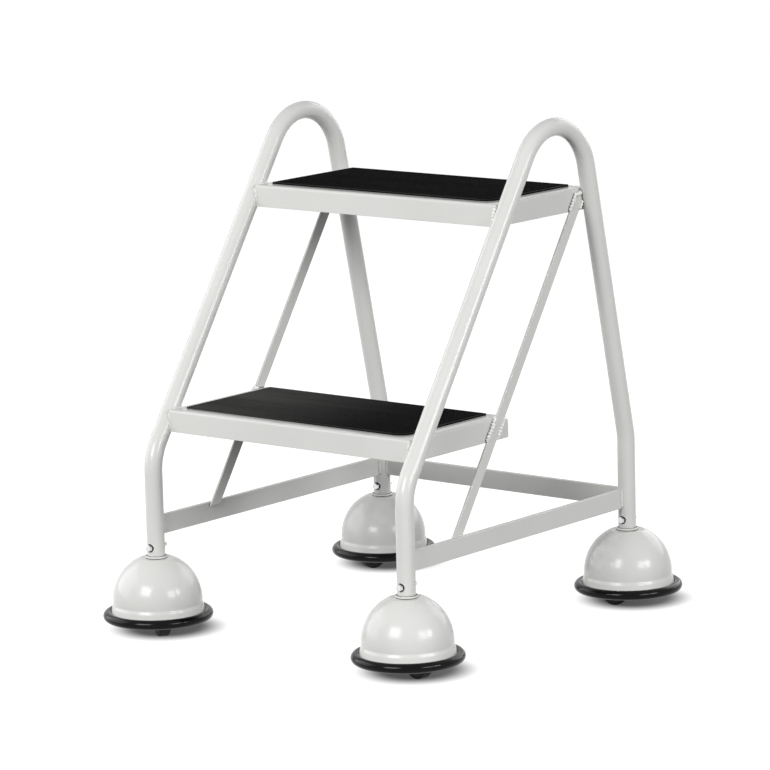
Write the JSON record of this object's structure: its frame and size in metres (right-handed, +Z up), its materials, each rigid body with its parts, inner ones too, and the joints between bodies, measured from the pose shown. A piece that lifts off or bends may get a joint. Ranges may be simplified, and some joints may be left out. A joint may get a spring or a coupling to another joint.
{
  "type": "mobile steps",
  "caption": "Low mobile access steps: matted sheet-metal treads in a bent-tube frame on domed feet whose spring-loaded castors retract under load so rubber rings grip the floor.",
  "frame": {"origin": "on the floor, midway between the four feet", "axes": "+Z up, +X to the right of a user who faces the treads, -Y towards that user; rearward is +Y"},
  "size_m": [0.5282, 0.5752, 0.6247],
  "materials": {
    "enamel": "light grey stoved enamel, semi-gloss",
    "mat": "black anti-slip rubber sheet, fine grain",
    "grip_rubber": "black moulded rubber, satin",
    "zinc": "bright zinc plate",
    "spring_steel": "oiled spring steel",
    "core": "moulded grey nylon",
    "wheel_rubber": "black rubber tread, lightly scuffed"
  },
  "bodies": {
    "frame": {"left_side_tube": "enamel", "right_side_tube": "enamel", "lower_tread": "enamel", "top_tread": "enamel", "lower_mat": "mat", "top_mat": "mat", "left_brace": "enamel", "right_brace": "enamel", "left_rail": "enamel", "right_rail": "enamel", "rear_rail": "enamel", "leg_bolts": "zinc", "front_left_dome": "enamel", "front_left_grip_ring": "grip_rubber", "front_left_spigot": "enamel", "front_left_spring": "spring_steel", "front_right_dome": "enamel", "front_right_grip_ring": "grip_rubber", "front_right_spigot": "enamel", "front_right_spring": "spring_steel", "rear_left_dome": "enamel", "rear_left_grip_ring": "grip_rubber", "rear_left_spigot": "enamel", "rear_left_spring": "spring_steel", "rear_right_dome": "enamel", "rear_right_grip_ring": "grip_rubber", "rear_right_spigot": "enamel", "rear_right_spring": "spring_steel"},
    "front_left_stem": {"front_left_plunger": "zinc", "front_left_retaining_clip": "spring_steel", "front_left_swivel_race": "zinc"},
    "front_left_castor": {"front_left_fork": "zinc", "front_left_axle": "zinc"},
    "front_left_wheel": {"front_left_wheel_core": "core", "front_left_wheel_tyre": "wheel_rubber"},
    "front_right_stem": {"front_right_plunger": "zinc", "front_right_retaining_clip": "spring_steel", "front_right_swivel_race": "zinc"},
    "front_right_castor": {"front_right_fork": "zinc", "front_right_axle": "zinc"},
    "front_right_wheel": {"front_right_wheel_core": "core", "front_right_wheel_tyre": "wheel_rubber"},
    "rear_left_stem": {"rear_left_plunger": "zinc", "rear_left_retaining_clip": "spring_steel", "rear_left_swivel_race": "zinc"},
    "rear_left_castor": {"rear_left_fork": "zinc", "rear_left_axle": "zinc"},
    "rear_left_wheel": {"rear_left_wheel_core": "core", "rear_left_wheel_tyre": "wheel_rubber"},
    "rear_right_stem": {"rear_right_plunger": "zinc", "rear_right_retaining_clip": "spring_steel", "rear_right_swivel_race": "zinc"},
    "rear_right_castor": {"rear_right_fork": "zinc", "rear_right_axle": "zinc"},
    "rear_right_wheel": {"rear_right_wheel_core": "core", "rear_right_wheel_tyre": "wheel_rubber"}
  },
  "joints": [
    {"name": "front_left_press", "type": "slide", "parent": "frame", "child": "front_left_stem", "axis": [0, 0, 1], "range_m": [0, 0.02], "stiffness_N_per_m": 4600, "springref_m": -0.01, "deforming": ["front_left_spring"]},
    {"name": "front_left_swivel", "type": "hinge", "parent": "front_left_stem", "child": "front_left_castor", "pos_m": [-0.1965, -0.22, 0.04], "axis": [0, 0, 1], "continuous": true},
    {"name": "front_left_spin", "type": "hinge", "parent": "front_left_castor", "child": "front_left_wheel", "pos_m": [-0.18158, -0.23006, 0.017], "axis": [0.5592, 0.829, 0], "continuous": true},
    {"name": "front_right_press", "type": "slide", "parent": "frame", "child": "front_right_stem", "axis": [0, 0, 1], "range_m": [0, 0.02], "stiffness_N_per_m": 4600, "springref_m": -0.01, "deforming": ["front_right_spring"]},
    {"name": "front_right_swivel", "type": "hinge", "parent": "front_right_stem", "child": "front_right_castor", "pos_m": [0.1965, -0.22, 0.04], "axis": [0, 0, 1], "continuous": true},
    {"name": "front_right_spin", "type": "hinge", "parent": "front_right_castor", "child": "front_right_wheel", "pos_m": [0.21432, -0.22251, 0.017], "axis": [0.1392, 0.9903, 0], "continuous": true},
    {"name": "rear_left_press", "type": "slide", "parent": "frame", "child": "rear_left_stem", "axis": [0, 0, 1], "range_m": [0, 0.02], "stiffness_N_per_m": 4600, "springref_m": -0.01, "deforming": ["rear_left_spring"]},
    {"name": "rear_left_swivel", "type": "hinge", "parent": "rear_left_stem", "child": "rear_left_castor", "pos_m": [-0.1965, 0.22, 0.04], "axis": [0, 0, 1], "continuous": true},
    {"name": "rear_left_spin", "type": "hinge", "parent": "rear_left_castor", "child": "rear_left_wheel", "pos_m": [-0.20206, 0.20288, 0.017], "axis": [0.9511, -0.309, 0], "continuous": true},
    {"name": "rear_right_press", "type": "slide", "parent": "frame", "child": "rear_right_stem", "axis": [0, 0, 1], "range_m": [0, 0.02], "stiffness_N_per_m": 4600, "springref_m": -0.01, "deforming": ["rear_right_spring"]},
    {"name": "rear_right_swivel", "type": "hinge", "parent": "rear_right_stem", "child": "rear_right_castor", "pos_m": [0.1965, 0.22, 0.04], "axis": [0, 0, 1], "continuous": true},
    {"name": "rear_right_spin", "type": "hinge", "parent": "rear_right_castor", "child": "rear_right_wheel", "pos_m": [0.18592, 0.20544, 0.017], "axis": [0.809, -0.5878, 0], "continuous": true}
  ]
}
